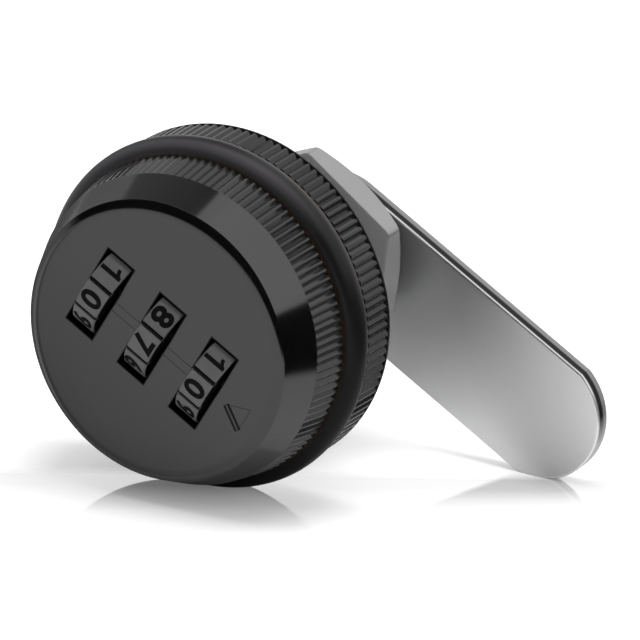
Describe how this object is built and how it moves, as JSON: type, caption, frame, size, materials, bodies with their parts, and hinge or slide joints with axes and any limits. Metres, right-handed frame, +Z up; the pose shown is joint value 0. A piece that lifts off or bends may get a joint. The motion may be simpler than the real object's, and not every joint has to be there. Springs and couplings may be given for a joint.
{
  "type": "combination locker lock",
  "caption": "Combination cam lock for a locker door: round knob with number wheels in slanted windows, rubber ring, knurled flange, threaded barrel, hexagon nut and flat cam.",
  "frame": {"origin": "centre of the flange's back face, which seats on the door's front", "axes": "+Y back along the barrel into the door, knob face towards -Y, +Z up; the dial row and the cam point 30 degrees below +X"},
  "size_m": [0.0544, 0.0475, 0.0432],
  "materials": {
    "black_coating": "satin black coating on a zinc casting",
    "black_rubber": "smooth black rubber",
    "bright_plating": "bright plated",
    "stainless_plate": "fine polished stainless steel",
    "plated_steel": "zinc plated",
    "zinc_casting": "bare die-cast zinc",
    "spring_steel": "bare spring steel",
    "brass_sleeve": "turned brass",
    "grey_wheel": "grey moulded plastic"
  },
  "bodies": {
    "lock_base": {"base_housing": "black_coating", "mounting_nut": "bright_plating", "seal_ring": "black_rubber"},
    "knob": {"knob_housing": "black_coating", "wheel_frame": "plated_steel", "wheel_axle": "plated_steel", "axle_clip_1": "spring_steel", "axle_clip_2": "spring_steel", "clutch_sleeve_1": "brass_sleeve", "clutch_sleeve_2": "brass_sleeve", "clutch_sleeve_3": "brass_sleeve", "bar_spring_1": "spring_steel", "bar_spring_2": "spring_steel", "detent_spring": "spring_steel", "spindle": "zinc_casting", "frame_screw_1": "plated_steel", "frame_screw_2": "plated_steel", "frame_screw_3": "plated_steel", "frame_screw_4": "plated_steel", "cam": "stainless_plate", "cam_washer": "plated_steel", "cam_screw": "plated_steel"},
    "wheel_1": {"number_wheel_1": "grey_wheel"},
    "wheel_2": {"number_wheel_2": "grey_wheel"},
    "wheel_3": {"number_wheel_3": "grey_wheel"},
    "bar": {"locking_bar": "plated_steel"}
  },
  "joints": [
    {"name": "knob_turn", "type": "hinge", "parent": "lock_base", "child": "knob", "pos_m": [0, 0, 0], "axis": [0, 1, 0], "range_deg": [0, 90]},
    {"name": "wheel_1_turn", "type": "hinge", "parent": "knob", "child": "wheel_1", "pos_m": [-0.00676, -0.0125, 0.00418], "axis": [0.866, 0, -0.5], "continuous": true},
    {"name": "wheel_2_turn", "type": "hinge", "parent": "knob", "child": "wheel_2", "pos_m": [-0.00026, -0.0125, 0.00043], "axis": [0.866, 0, -0.5], "continuous": true},
    {"name": "wheel_3_turn", "type": "hinge", "parent": "knob", "child": "wheel_3", "pos_m": [0.00623, -0.0125, -0.00332], "axis": [0.866, 0, -0.5], "continuous": true},
    {"name": "bar_slide", "type": "slide", "parent": "knob", "child": "bar", "axis": [0, 1, 0], "range_m": [0, 0.0009], "deforming": ["bar_spring_1", "bar_spring_2"]}
  ]
}
